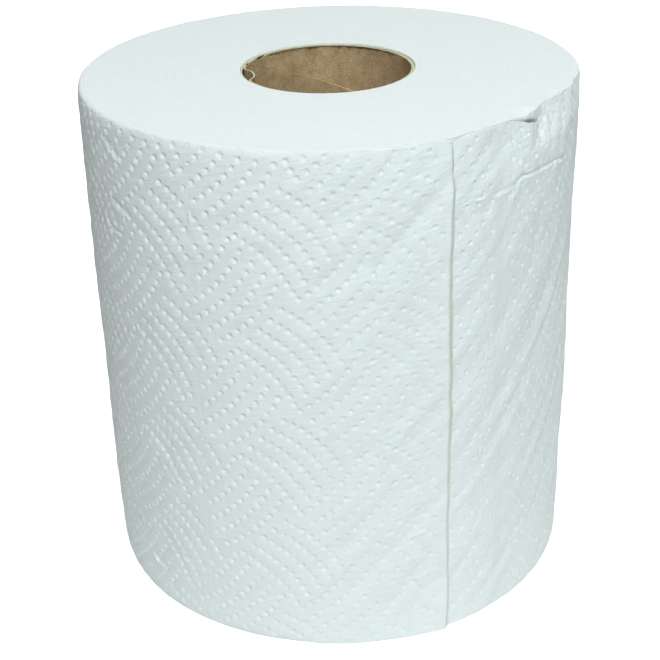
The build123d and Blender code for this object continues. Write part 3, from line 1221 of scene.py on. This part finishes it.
@dataclass
class CoreTube:
    """The cardboard core: an inner ply wound as a helical strip, and an outer ply glued round it."""

    sizes: RollSizes
    seam_pitch: float = 0.070
    seam_gap: float = 0.00014
    seam_lip: float = 0.00080
    seam_lip_reach: float = 0.0050
    seam_shown: Points = ((-180, 1.0), (-136, 0.9), (-114, 0.15), (-90, 0.05), (0, 0.2), (180, 1.0))
    seam_drop: float = 0.0092
    seam_drop_angle: float = 212.7
    column_step: float = 3.0
    strip_shares: tuple[float, ...] = (
        0.0, 0.006, 0.014, 0.03, 0.07, 0.15, 0.28, 0.42,
        0.58, 0.72, 0.85, 0.93, 0.97, 0.984, 0.991, 0.996, 1.0,
    )
    tube_shares: tuple[float, ...] = (0.0, 0.004, 0.05, 0.25, 0.5, 0.75, 0.95, 0.996, 1.0)
    least_width: float = 0.0004
    seam_lip_room: float = 0.001
    sharp_angle: float = 40.0
    ragged: float = 0.00018
    ragged_cell: float = 3.0
    inner_lanes: tuple[int, int] = (1, 2)
    outer_lanes: tuple[int, int] = (3, 4)
    pocket_angle: float = -80.0
    pocket_half_angle: float = 11.0
    pocket_bulge: float = 0.0037
    pocket_reach: float = 0.008
    burr: Points = (
        (-180, 0.0005), (-140, 0.0004), (-118, 0.0001), (-100, 0.0), (120, 0.0), (140, 0.0004),
        (160, 0.0006), (180, 0.0005),
    )
    burr_reach: float = 0.0006
    burr_middle_share: float = 0.7
    burr_swing_share: float = 0.5
    burr_cell: float = 4.0
    burr_lane: int = 5
    chip_angle: float = -125.0
    chip_half_angle: float = 4.0
    chip_depth: float = 0.0010

    def __post_init__(self) -> None:
        """Set the noise of the cut edges."""
        self.noise = SmoothNoise(31, 120, 8)

    def edge_rag(self, angle: Array, lane: int) -> Array:
        """Give how far a ply's cut edge falls short, all round."""
        return self.ragged * 0.5 * (1 + self.noise.along((angle % 360) / self.ragged_cell, lane))

    def inner_radius_move(self, angle: Array, height: Array) -> Array:
        """Work out how far the inner ply stands off its tube, inwards.

        Args:
            angle: Degrees to the right of the front.
            height: Heights above the floor.

        Returns:
            The move at each point.
        """
        turn = wrapped(angle)
        below = self.sizes.core_top - height
        away = (turn - self.pocket_angle) / self.pocket_half_angle
        pocket = self.pocket_bulge * np.exp(-away ** 4) * np.exp(-((below / self.pocket_reach) ** 2))
        swing = self.burr_swing_share * self.noise.along((turn + 180) / self.burr_cell, self.burr_lane)
        uneven = self.burr_middle_share + swing
        burr = eased(self.burr, turn) * uneven * np.exp(-((below / self.burr_reach) ** 2))
        return pocket + burr

    def build_inner(self) -> bpy.types.Object:
        """Make the inner ply as a strip wound in a helix, its edges a hair apart.

        Returns:
            The new piece.
        """
        low, high = self.sizes.core_bottom, self.sizes.core_top
        rise = self.seam_pitch / 360
        seam_at = self.sizes.height - self.seam_drop
        first = (low - self.seam_pitch - seam_at) / rise + self.seam_drop_angle
        angle = np.arange(first, (high - seam_at) / rise + self.seam_drop_angle, self.column_step)
        start = seam_at + (angle - self.seam_drop_angle) * rise + self.seam_gap / 2
        end = start + self.seam_pitch - self.seam_gap
        away = (wrapped(angle) - self.chip_angle) / self.chip_half_angle
        chip = self.chip_depth * np.exp(-away ** 4)
        top = high - self.edge_rag(angle, self.inner_lanes[0]) - chip
        foot = low + self.edge_rag(angle, self.inner_lanes[1])
        lip = self.seam_lip * eased(self.seam_shown, wrapped(angle))
        lip = lip * smooth_step(0, self.seam_lip_room, top - end)
        start, end = np.maximum(start, foot), np.minimum(end, top)
        taken = end - start > self.least_width
        angle, start, end, lip = angle[taken], start[taken], end[taken], lip[taken]
        height = start[:, None] + (end - start)[:, None] * np.array(self.strip_shares)
        angles = np.broadcast_to(angle[:, None], height.shape)
        from_end = (end[:, None] - height) / self.seam_lip_reach
        move = self.inner_radius_move(angles, height) + lip[:, None] * np.exp(-from_end ** 2)
        inner = place_round(angles, self.sizes.core_bore - move, height)
        outer = place_round(angles, self.sizes.inner_ply_radius - move, height)
        loop = np.concatenate([inner, outer[:, ::-1]], axis=1)
        columns, around = loop.shape[:2]
        faces = ring_faces(columns, around, False)[:, ::-1].tolist()
        faces.append(list(range(around)))
        faces.append(list(range((columns - 1) * around, columns * around))[::-1])
        return make_piece("core_inner_ply_strip", loop.reshape(-1, 3), faces, self.sharp_angle)

    def build_outer(self) -> bpy.types.Object:
        """Make the outer ply as a tube with ragged ends.

        Returns:
            The new piece.
        """
        angle = np.arange(0, 360, self.column_step)
        bore = self.sizes.inner_ply_radius + (self.sizes.web_bore - self.sizes.outer_ply_radius)
        top = self.sizes.core_top - self.edge_rag(angle, self.outer_lanes[0])
        foot = self.sizes.core_bottom + self.edge_rag(angle, self.outer_lanes[1])
        outside = [(self.sizes.outer_ply_radius, share) for share in self.tube_shares]
        inside = [(bore, share) for share in reversed(self.tube_shares)]
        rings = [
            place_round(angle, 0 * angle + radius, foot + (top - foot) * share)
            for radius, share in outside + inside
        ]
        faces = ring_faces(len(rings), len(angle), True)
        return make_piece("core_outer_ply_tube", np.concatenate(rings), faces.tolist(), self.sharp_angle)

    def dress(self, piece: bpy.types.Object, node: str, finish: "KraftFinish") -> None:
        """Give a ply its finish and its place in the frame."""
        piece.data.materials.append(finish.build())
        seat(piece, node)


class Bench:
    """A node tree with short ways to add nodes and join them."""

    def __init__(self, tree: bpy.types.NodeTree) -> None:
        """Start on an empty tree."""
        self.tree = tree
        tree.nodes.clear()

    def add(self, kind: str, inputs: dict | None = None, **settings: object) -> bpy.types.Node:
        """Add a node.

        Args:
            kind: Blender's name of the node's class.
            inputs: Sockets or plain values for its inputs, by name or number.
            settings: Its own settings.

        Returns:
            The new node.
        """
        node = self.tree.nodes.new(kind)
        for name, value in settings.items():
            setattr(node, name, value)
        for name, value in (inputs or {}).items():
            if isinstance(value, bpy.types.NodeSocket):
                self.tree.links.new(value, node.inputs[name])
            else:
                node.inputs[name].default_value = value
        return node

    def math(self, operation: str, *values: object) -> bpy.types.NodeSocket:
        """Add a Math node over sockets or plain numbers and return its output."""
        return self.add("ShaderNodeMath", dict(enumerate(values)), operation=operation).outputs[0]

    def ease(self, value: bpy.types.NodeSocket, low: float, high: float) -> bpy.types.NodeSocket:
        """Add an eased passage from 0 to 1 between two limits and return its output."""
        limits = {"Value": value, "From Min": low, "From Max": high}
        return self.add("ShaderNodeMapRange", limits, interpolation_type="SMOOTHSTEP").outputs["Result"]

    def mix(self, share: object, first: object, second: object) -> bpy.types.NodeSocket:
        """Add a mix of two colours and return its output."""
        node = self.add("ShaderNodeMix", data_type="RGBA")
        for index, value in ((0, share), (6, first), (7, second)):
            if isinstance(value, bpy.types.NodeSocket):
                self.tree.links.new(value, node.inputs[index])
            else:
                node.inputs[index].default_value = value
        return node.outputs[2]

    def noise(self, vector: object, scale: object, detail: float) -> bpy.types.NodeSocket:
        """Add a noise texture and return its plain value."""
        inputs = {"Vector": vector, "Scale": scale, "Detail": detail, "Roughness": NOISE_ROUGHNESS}
        return self.add("ShaderNodeTexNoise", inputs).outputs["Fac"]


def new_material(name: str) -> tuple[bpy.types.Material, Bench]:
    """Start a material, and return it with a bench on its empty node tree."""
    material = bpy.data.materials.new(name)
    material.use_nodes = True
    return material, Bench(material.node_tree)


def fibre_grain() -> bpy.types.NodeTree:
    """Make, once, the group for matted paper fibres.

    Returns:
        The group, which puts out a shade and a bump height from a vector and a fineness.
    """
    if "fibre_grain" in bpy.data.node_groups:
        return bpy.data.node_groups["fibre_grain"]
    group = bpy.data.node_groups.new("fibre_grain", "ShaderNodeTree")
    face = group.interface
    face.new_socket("Vector", in_out="INPUT", socket_type="NodeSocketVector")
    face.new_socket("Fineness", in_out="INPUT", socket_type="NodeSocketFloat")
    face.new_socket("Shade", in_out="OUTPUT", socket_type="NodeSocketFloat")
    face.new_socket("Height", in_out="OUTPUT", socket_type="NodeSocketFloat")
    bench = Bench(group)
    given = bench.add("NodeGroupInput")
    vector, fineness = given.outputs["Vector"], given.outputs["Fineness"]
    coarseness, more, less = 0.15, 0.65, 0.35
    fine = bench.noise(vector, fineness, FINE_DETAIL)
    coarse = bench.noise(vector, bench.math("MULTIPLY", fineness, coarseness), FINE_DETAIL)
    height = bench.math("ADD", bench.math("MULTIPLY", fine, more), bench.math("MULTIPLY", coarse, less))
    shade = bench.math("ADD", bench.math("MULTIPLY", fine, less), bench.math("MULTIPLY", coarse, more))
    bench.add("NodeGroupOutput", {"Shade": shade, "Height": height})
    return group


def axis_place() -> bpy.types.NodeTree:
    """Make, once, the group that finds a point's angle and distance round the roll's axis.

    Returns:
        The group, which puts out degrees to the right of the front, a radius and a height.
    """
    if "axis_place" in bpy.data.node_groups:
        return bpy.data.node_groups["axis_place"]
    group = bpy.data.node_groups.new("axis_place", "ShaderNodeTree")
    group.interface.new_socket("Vector", in_out="INPUT", socket_type="NodeSocketVector")
    for name in ("Angle", "Radius", "Height"):
        group.interface.new_socket(name, in_out="OUTPUT", socket_type="NodeSocketFloat")
    bench = Bench(group)
    given = bench.add("NodeGroupInput")
    parts = bench.add("ShaderNodeSeparateXYZ", {0: given.outputs["Vector"]}).outputs
    turn = bench.math("ARCTAN2", parts["X"], bench.math("MULTIPLY", parts["Y"], -1.0))
    angle = bench.math("MULTIPLY", turn, 360 / TAU)
    squared = bench.math("ADD", bench.math("POWER", parts["X"], 2.0), bench.math("POWER", parts["Y"], 2.0))
    radius = bench.math("SQRT", squared)
    bench.add("NodeGroupOutput", {"Angle": angle, "Radius": radius, "Height": parts["Z"]})
    return group


class TissueSide(Enum):
    """Which side of the towel web a finish is for."""

    FACE = "embossed face"
    EDGE = "wound edges"


@dataclass(frozen=True)
class TissueFinish:
    """Soft white towel tissue with a faint cool tint."""

    name: str
    side: TissueSide
    band: GlueBand
    light: Colour = (0.864, 0.872, 0.862, 1.0)
    shade: Colour = (0.832, 0.846, 0.834, 1.0)
    glue: Colour = (0.800, 0.815, 0.765, 1.0)
    # Painted shade: the darker olive colour of the tail's folded lip stands for the shade in the gap under
    # the lifted edge.
    lip: Colour = (0.700, 0.722, 0.630, 1.0)
    roughness: float = 0.95
    specular: float = 0.15
    sheen: float = 0.03
    fineness: float = 2200.0
    fibre_bump: float = 0.00008
    wrinkle_width: float = 0.0046
    wrinkle_length: float = 0.0013
    wrinkle_slant: float = 0.25
    wrinkle_share: float = 4.0
    crepe_width: float = 0.0008
    crepe_length: float = 0.0070
    crepe_share: float = 0.5
    crumpled_share: float = 5.0
    turn_scale: float = 850.0
    turn_bump: float = 0.00026
    turn_share: float = 0.7
    turn_shade_share: float = 0.35
    turn_sweep: float = 0.02
    shade_limits: Limits = (0.30, 0.70)
    # Limits of the painted shade on the tail's folded lip, over its fold share.
    lip_shade_limits: Limits = (0.02, 0.25)
    crumpled_from: Limits = (25.5, 34.0)
    crumpled_to: Limits = (72.0, 100.0)
    glue_share: float = 0.40
    roll_height: float = 0.2
    roll_radius: float = 0.095

    def build(self) -> bpy.types.Material:
        """Make the material.

        Returns:
            The new material.
        """
        material, bench = new_material(self.name)
        place = bench.add("ShaderNodeTexCoord").outputs["Object"]
        fibres_at = {"Vector": place, "Fineness": self.fineness}
        grain = bench.add("ShaderNodeGroup", fibres_at, node_tree=fibre_grain())
        round_axis = bench.add("ShaderNodeGroup", {"Vector": place}, node_tree=axis_place())
        colour = bench.mix(bench.ease(grain.outputs["Shade"], *self.shade_limits), self.shade, self.light)
        if self.side is TissueSide.FACE:
            glued = bench.math("MULTIPLY", self.glue_mask(bench, round_axis), self.glue_share)
            colour = bench.mix(glued, colour, self.glue)
            # Painted shade: the tail's folded lip is darkened towards the lip colour, by the fold share
            # stored on the mesh.
            lip = bench.add("ShaderNodeAttribute", attribute_name=LIP_SHADE_ATTRIBUTE).outputs["Fac"]
            colour = bench.mix(bench.ease(lip, *self.lip_shade_limits), colour, self.lip)
            relief = bench.math("ADD", grain.outputs["Height"], self.crepe(bench, round_axis))
            relief = bench.math("ADD", relief, self.wrinkles(bench, round_axis))
            bump = bench.add("ShaderNodeBump", {"Height": relief, "Distance": self.fibre_bump})
        else:
            turns = self.turn_lines(bench, round_axis)
            colour = bench.mix(bench.math("MULTIPLY", turns, self.turn_shade_share), colour, self.shade)
            ridges = bench.math("MULTIPLY", turns, self.turn_share)
            both = bench.math("ADD", ridges, grain.outputs["Height"])
            bump = bench.add("ShaderNodeBump", {"Height": both, "Distance": self.turn_bump})
        surface = {"Base Color": colour, "Normal": bump.outputs["Normal"]}
        skin = bench.add("ShaderNodeBsdfPrincipled", surface)
        skin.inputs["Roughness"].default_value = self.roughness
        skin.inputs["Specular IOR Level"].default_value = self.specular
        skin.inputs["Sheen Weight"].default_value = self.sheen
        bench.add("ShaderNodeOutputMaterial", {"Surface": skin.outputs["BSDF"]})
        return material

    def glue_mask(self, bench: Bench, round_axis: bpy.types.Node) -> bpy.types.NodeSocket:
        """Mask the glued band beside the tail, which leans a little.

        Args:
            bench: The material's node tree.
            round_axis: The node that puts out the angle and the height.

        Returns:
            The mask's socket.
        """
        lean = (self.band.top_angle - self.band.foot_angle) / self.roll_height
        middle = bench.math("MULTIPLY_ADD", round_axis.outputs["Height"], lean, self.band.foot_angle)
        away = bench.math("ABSOLUTE", bench.math("SUBTRACT", round_axis.outputs["Angle"], middle))
        edge = self.band.stain_half_angle
        return bench.math("SUBTRACT", 1.0, bench.ease(away, self.band.stain_core_share * edge, edge))

    def wrinkles(self, bench: Bench, round_axis: bpy.types.Node) -> bpy.types.NodeSocket:
        """Draw the fine lying wrinkles of the sheet, which rise a little to the right.

        Args:
            bench: The material's node tree.
            round_axis: The node that puts out the angle and the height.

        Returns:
            The socket of the wrinkles' height, in shares of the fibres' height.
        """
        round_way = bench.math("MULTIPLY", round_axis.outputs["Angle"], math.radians(1) * self.roll_radius)
        across = bench.math("MULTIPLY", round_way, 1 / self.wrinkle_width)
        level = bench.math("MULTIPLY_ADD", round_way, -self.wrinkle_slant, round_axis.outputs["Height"])
        up = bench.math("MULTIPLY", level, 1 / self.wrinkle_length)
        vector = bench.add("ShaderNodeCombineXYZ", {"X": across, "Y": up}).outputs["Vector"]
        return bench.math("MULTIPLY", bench.noise(vector, 1.0, MIDDLE_DETAIL), self.wrinkle_share)

    def crepe(self, bench: Bench, round_axis: bpy.types.Node) -> bpy.types.NodeSocket:
        """Draw the fine upright crepe of the sheet, which is stronger where it is crumpled beside the tail.

        Args:
            bench: The material's node tree.
            round_axis: The node that puts out the angle and the height.

        Returns:
            The socket of the crepe's height, in shares of the fibres' height.
        """
        per_degree = math.radians(1) * self.roll_radius / self.crepe_width
        across = bench.math("MULTIPLY", round_axis.outputs["Angle"], per_degree)
        along = bench.math("MULTIPLY", round_axis.outputs["Height"], 1 / self.crepe_length)
        vector = bench.add("ShaderNodeCombineXYZ", {"X": across, "Y": along}).outputs["Vector"]
        right_of_tail = bench.ease(round_axis.outputs["Angle"], *self.crumpled_from)
        past = bench.ease(round_axis.outputs["Angle"], *self.crumpled_to)
        crumpled = bench.math("MULTIPLY", right_of_tail, bench.math("SUBTRACT", 1.0, past))
        share = bench.math("MULTIPLY_ADD", crumpled, self.crumpled_share, self.crepe_share)
        return bench.math("MULTIPLY", bench.noise(vector, 1.0, MIDDLE_DETAIL), share)

    def turn_lines(self, bench: Bench, round_axis: bpy.types.Node) -> bpy.types.NodeSocket:
        """Draw the edges of the wound turns as fine uneven rings.

        Args:
            bench: The material's node tree.
            round_axis: The node that puts out the angle and the radius.

        Returns:
            The rings' socket, from 0 to 1.
        """
        sweep = bench.math("MULTIPLY", round_axis.outputs["Angle"], self.turn_sweep)
        across = bench.math("MULTIPLY", round_axis.outputs["Radius"], self.turn_scale)
        vector = bench.add("ShaderNodeCombineXYZ", {"X": across, "Y": sweep}).outputs["Vector"]
        return bench.noise(vector, 1.0, SOFT_DETAIL)


@dataclass(frozen=True)
class KraftFinish:
    """Grey-brown core board: matted fibres, dark flecks, a painted shadow under the back rim and paler cut
    edges.
    """

    name: str
    rim: float
    chip_angle: float
    light: Colour = (0.600, 0.418, 0.240, 1.0)
    dark: Colour = (0.335, 0.232, 0.124, 1.0)
    # The fleck colour also darkens the painted shadow under the back rim.
    fleck_and_shadow: Colour = (0.130, 0.085, 0.045, 1.0)
    cut: Colour = (0.620, 0.570, 0.400, 1.0)
    seam: Colour = (0.860, 0.640, 0.400, 1.0)
    roughness: float = 0.85
    specular: float = 0.20
    fineness: float = 1100.0
    fibre_turns: float = 0.55
    fibre_rows: float = 1900.0
    fibre_share: float = 0.70
    bump: float = 0.00012
    # The following fields set the painted shadow under the back rim: a dark ragged band where the rim's burr
    # shades the wall below it.
    rim_shadow_depth: float = 0.0016
    rim_shadow_least: float = 0.0003
    rim_shadow_scale: float = 260.0
    rim_shadow_limits: Limits = (0.40, 0.72)
    rim_shadow_angles: Limits = (112.0, 140.0)
    rim_shadow_edge: float = 0.0004
    rim_shadow_share: float = 0.85
    shade_limits: Limits = (0.62, 1.08)
    fleck_scale_share: float = 0.7
    fleck_limits: Limits = (0.66, 0.78)
    fleck_share: float = 0.6
    cut_limits: Limits = (0.55, 0.85)
    chip_angles: Limits = (6.0, 9.0)
    chip_depths: Limits = (0.0003, 0.0006)
    seam_depths: Limits = (0.0015, 0.0030)

    def build(self) -> bpy.types.Material:
        """Make the material.

        Returns:
            The new material.
        """
        material, bench = new_material(self.name)
        place = bench.add("ShaderNodeTexCoord").outputs["Object"]
        fibres_at = {"Vector": place, "Fineness": self.fineness}
        grain = bench.add("ShaderNodeGroup", fibres_at, node_tree=fibre_grain())
        round_axis = bench.add("ShaderNodeGroup", {"Vector": place}, node_tree=axis_place())
        streaks = bench.add(
            "ShaderNodeCombineXYZ",
            {
                "X": bench.math("MULTIPLY", round_axis.outputs["Angle"], self.fibre_turns),
                "Y": bench.math("MULTIPLY", round_axis.outputs["Height"], self.fibre_rows),
            },
        )
        fibres = bench.noise(streaks.outputs["Vector"], 1.0, MIDDLE_DETAIL)
        shade = bench.math("ADD", grain.outputs["Shade"], bench.math("MULTIPLY", fibres, self.fibre_share))
        colour = bench.mix(bench.ease(shade, *self.shade_limits), self.dark, self.light)
        specks = bench.noise(place, self.fleck_scale_share * self.fineness, MIDDLE_DETAIL)
        flecks = bench.math("MULTIPLY", bench.ease(specks, *self.fleck_limits), self.fleck_share)
        colour = bench.mix(flecks, colour, self.fleck_and_shadow)
        angle = round_axis.outputs["Angle"]
        below = bench.math("SUBTRACT", self.rim, round_axis.outputs["Height"])
        # Painted shadow: a ragged band under the back rim is darkened towards the fleck colour.
        colour = bench.mix(self.rim_shadow_mask(bench, place, angle, below), colour, self.fleck_and_shadow)
        cut = bench.mix(bench.ease(below, *self.seam_depths), self.cut, self.seam)
        colour = bench.mix(self.cut_mask(bench, angle, below), colour, cut)
        bump = bench.add("ShaderNodeBump", {"Height": grain.outputs["Height"], "Distance": self.bump})
        surface = {"Base Color": colour, "Normal": bump.outputs["Normal"]}
        skin = bench.add("ShaderNodeBsdfPrincipled", surface)
        skin.inputs["Roughness"].default_value = self.roughness
        skin.inputs["Specular IOR Level"].default_value = self.specular
        bench.add("ShaderNodeOutputMaterial", {"Surface": skin.outputs["BSDF"]})
        return material

    def rim_shadow_mask(
        self,
        bench: Bench,
        place: bpy.types.NodeSocket,
        angle: bpy.types.NodeSocket,
        below: bpy.types.NodeSocket,
    ) -> bpy.types.NodeSocket:
        """Mask the painted shadow: a dark ragged band just under the back of the rim, where its burr shades
        the wall.

        Args:
            bench: The material's node tree.
            place: The point's place.
            angle: Its angle round the axis.
            below: Its depth below the rim.

        Returns:
            The mask's socket.
        """
        ragged = bench.ease(bench.noise(place, self.rim_shadow_scale, FINE_DETAIL), *self.rim_shadow_limits)
        uneven = bench.math("MULTIPLY_ADD", ragged, self.rim_shadow_depth, self.rim_shadow_least)
        behind = bench.ease(bench.math("ABSOLUTE", angle), *self.rim_shadow_angles)
        past = bench.ease(bench.math("SUBTRACT", below, uneven), 0.0, self.rim_shadow_edge)
        rim_shadow = bench.math("MULTIPLY", bench.math("SUBTRACT", 1.0, past), behind)
        return bench.math("MULTIPLY", rim_shadow, self.rim_shadow_share)

    def cut_mask(
        self, bench: Bench, angle: bpy.types.NodeSocket, below: bpy.types.NodeSocket
    ) -> bpy.types.NodeSocket:
        """Mask the pale cut faces of the board, without the chip in its rim.

        Args:
            bench: The material's node tree.
            angle: The point's angle round the axis.
            below: Its depth below the rim.

        Returns:
            The mask's socket.
        """
        true_normal = bench.add("ShaderNodeNewGeometry").outputs["True Normal"]
        upward = bench.add("ShaderNodeSeparateXYZ", {0: true_normal}).outputs["Z"]
        pale = bench.ease(bench.math("ABSOLUTE", upward), *self.cut_limits)
        from_chip = bench.math("ABSOLUTE", bench.math("SUBTRACT", angle, self.chip_angle))
        at_chip = bench.math("SUBTRACT", 1.0, bench.ease(from_chip, *self.chip_angles))
        chipped = bench.math("MULTIPLY", at_chip, bench.ease(below, *self.chip_depths))
        return bench.math("SUBTRACT", pale, bench.math("MULTIPLY", pale, chipped))


@dataclass(frozen=True)
class FloorFinish:
    """Pale studio paper that glows to the camera, and looks like a grey room to other rays far out."""

    name: str = "studio_floor"
    pale: Colour = (0.93, 0.93, 0.93, 1.0)
    dull: Colour = (0.90, 0.90, 0.90, 1.0)
    room: Colour = (0.50, 0.50, 0.50, 1.0)
    sheet_reach: Limits = (0.20, 0.36)
    glow: float = 0.06
    seen_glow: float = 0.89
    under_roll: Limits = (0.030, 0.040)
    mottle_scale: float = 3.0
    roughness: float = 0.9
    specular: float = 0.1

    def build(self) -> bpy.types.Material:
        """Make the material.

        Returns:
            The new material.
        """
        material, bench = new_material(self.name)
        place = bench.add("ShaderNodeTexCoord").outputs["Object"]
        colour = bench.mix(bench.noise(place, self.mottle_scale, SOFT_DETAIL), self.dull, self.pale)
        seen = bench.add("ShaderNodeLightPath").outputs["Is Camera Ray"]
        away = bench.add("ShaderNodeVectorMath", {0: place}, operation="LENGTH").outputs["Value"]
        unseen = bench.math("SUBTRACT", 1.0, seen)
        in_room = bench.math("MULTIPLY", bench.ease(away, *self.sheet_reach), unseen)
        colour = bench.mix(in_room, colour, self.room)
        glow = bench.math("MULTIPLY_ADD", seen, self.seen_glow, self.glow)
        glow = bench.math("MULTIPLY", glow, bench.ease(away, *self.under_roll))
        skin = bench.add(
            "ShaderNodeBsdfPrincipled",
            {"Base Color": colour, "Emission Color": colour, "Emission Strength": glow},
        )
        skin.inputs["Roughness"].default_value = self.roughness
        skin.inputs["Specular IOR Level"].default_value = self.specular
        bench.add("ShaderNodeOutputMaterial", {"Surface": skin.outputs["BSDF"]})
        return material


@dataclass(frozen=True)
class SoftLight:
    """A square studio light that points at the middle of the roll, from a turn to its right and a rise."""

    name: str
    turn: float
    rise: float
    power: float
    tint: tuple[float, float, float] = (1.0, 1.0, 1.0)
    distance: float = 1.4
    side: float = 0.7

    def build(self, target: Vector) -> bpy.types.Object:
        """Place the light.

        Args:
            target: The point that it looks at.

        Returns:
            The new light.
        """
        data = bpy.data.lights.new(self.name, "AREA")
        data.size = self.side
        data.energy = self.power
        data.color = self.tint
        level = self.distance * math.cos(math.radians(self.rise))
        lift = self.distance * math.sin(math.radians(self.rise))
        reach = Vector(place_round(np.array(self.turn), np.array(level), np.array(lift)))
        lamp = bpy.data.objects.new(self.name, data)
        lamp.location = target + reach
        lamp.rotation_euler = (-reach).to_track_quat("-Z", "Y").to_euler()
        bpy.context.scene.collection.objects.link(lamp)
        return lamp


@dataclass
class Studio:
    """Floor, light and camera."""

    floor_side: float = 8.0
    floor_steps: int = 32
    floor_flat: float = 2.5
    floor_sweep: float = 0.8
    floor_sharp_angle: float = 30.0
    sky: Colour = (0.88, 1.0, 1.0, 1.0)
    sky_strength: float = 0.05
    lights: tuple[SoftLight, ...] = (
        SoftLight("front_light", 8.0, 45.0, 13.4, (0.866, 1.0, 1.01)),
        SoftLight("high_light", -12.0, 66.0, 4.7, (1.0, 1.0, 1.01)),
        SoftLight("right_light", 100.0, 14.0, 2.4, (0.88, 1.0, 1.01)),
        SoftLight("right_back_light", 152.0, 42.0, 4.8, (1.0, 1.0, 1.01)),
        SoftLight("left_back_light", -150.0, 45.0, 2.2, (0.88, 1.0, 1.01)),
    )
    eye: tuple[float, float, float] = (0.0, -0.5067, 0.3482)
    pitch: float = 0.4751
    yaw: float = -0.0040
    roll: float = -0.0290
    lens: float = 74.52
    sensor: float = 36.0
    near_clip: float = 0.01

    def build(self, middle: Vector) -> None:
        """Set up the studio round the roll.

        Args:
            middle: Middle of the roll.
        """
        self.build_floor()
        self.build_sky()
        for light in self.lights:
            light.build(middle)
        self.build_camera()
        bpy.context.scene.view_settings.view_transform = "Standard"

    def build_floor(self) -> None:
        """Lay the floor, which sweeps up far behind the roll on every side."""
        steps = np.linspace(-self.floor_side / 2, self.floor_side / 2, self.floor_steps + 1)
        grid = np.stack(np.meshgrid(steps, steps, [0.0]), axis=-1).reshape(-1, 3)
        past = np.maximum(np.hypot(grid[:, 0], grid[:, 1]) - self.floor_flat, 0)
        grid[:, 2] = self.floor_sweep * past ** 2
        row = self.floor_steps + 1
        faces = [
            (i * row + j, i * row + j + 1, (i + 1) * row + j + 1, (i + 1) * row + j)
            for i in range(self.floor_steps)
            for j in range(self.floor_steps)
        ]
        floor = make_piece("floor", grid, faces, self.floor_sharp_angle)
        floor.data.materials.append(FloorFinish().build())

    def build_sky(self) -> None:
        """Light the room evenly from all round."""
        world = bpy.data.worlds.new("studio")
        world.use_nodes = True
        bench = Bench(world.node_tree)
        sky = bench.add("ShaderNodeBackground", {"Color": self.sky, "Strength": self.sky_strength})
        bench.add("ShaderNodeOutputWorld", {"Surface": sky.outputs["Background"]})
        bpy.context.scene.world = world

    def build_camera(self) -> None:
        """Stand the camera where the photograph was taken from."""
        level = Vector((math.sin(self.yaw), math.cos(self.yaw), 0))
        forward = level * math.cos(self.pitch) - Vector((0, 0, math.sin(self.pitch)))
        right = forward.cross(Vector((0, 0, 1))).normalized()
        up = right.cross(forward)
        side = right * math.cos(self.roll) + up * math.sin(self.roll)
        head = up * math.cos(self.roll) - right * math.sin(self.roll)
        data = bpy.data.cameras.new("photo_camera")
        data.lens = self.lens
        data.sensor_width = self.sensor
        data.clip_start = self.near_clip
        camera = bpy.data.objects.new("photo_camera", data)
        axes = Matrix((side, head, -forward)).transposed().to_4x4()
        camera.matrix_world = Matrix.Translation(self.eye) @ axes
        bpy.context.scene.collection.objects.link(camera)
        bpy.context.scene.camera = camera


def report(piece: bpy.types.Object) -> None:
    """Log a finished piece with its count of triangles."""
    triangles = sum(len(face.vertices) - 2 for face in piece.data.polygons)
    log.info("%s: %d triangles", piece.name, triangles)


def main() -> None:
    """Build every piece, dress it and set up the studio."""
    logging.basicConfig(level=logging.INFO, format="%(name)s: %(message)s")
    sizes = RollSizes.from_frame()
    form = RollForm(sizes)
    sheet = OuterTurn(sizes, form)
    towels = sheet.build()
    face = TissueFinish("tissue_face", TissueSide.FACE, sheet.glue, roll_height=sizes.height)
    sheet.dress(towels, face)
    for towel in towels:
        report(towel)
    turns = WoundTurns(sizes, form, sheet)
    wound = turns.build()
    edge = TissueFinish("tissue_edge", TissueSide.EDGE, sheet.glue, roll_height=sizes.height)
    turns.dress(wound, edge)
    report(wound)
    core = CoreTube(sizes)
    strip = core.build_inner()
    core.dress(strip, "core_inner_ply", KraftFinish("kraft_inner_ply", sizes.core_top, core.chip_angle))
    report(strip)
    tube = core.build_outer()
    # Painted shade: the outer ply gets a much darker kraft than the inner ply, so that its inside, seen in
    # the pocket, looks shaded; its rim keeps the pale cut colour.
    painted_shade_kraft = KraftFinish(
        "kraft_outer_ply_shade",
        sizes.core_top,
        core.chip_angle,
        light=(0.22, 0.15, 0.085, 1.0),
        dark=(0.12, 0.08, 0.045, 1.0),
    )
    core.dress(tube, "core_outer_ply", painted_shade_kraft)
    report(tube)
    Studio().build(Vector((0, 0, sizes.height / 2)))


if __name__ == "__main__":
    main()
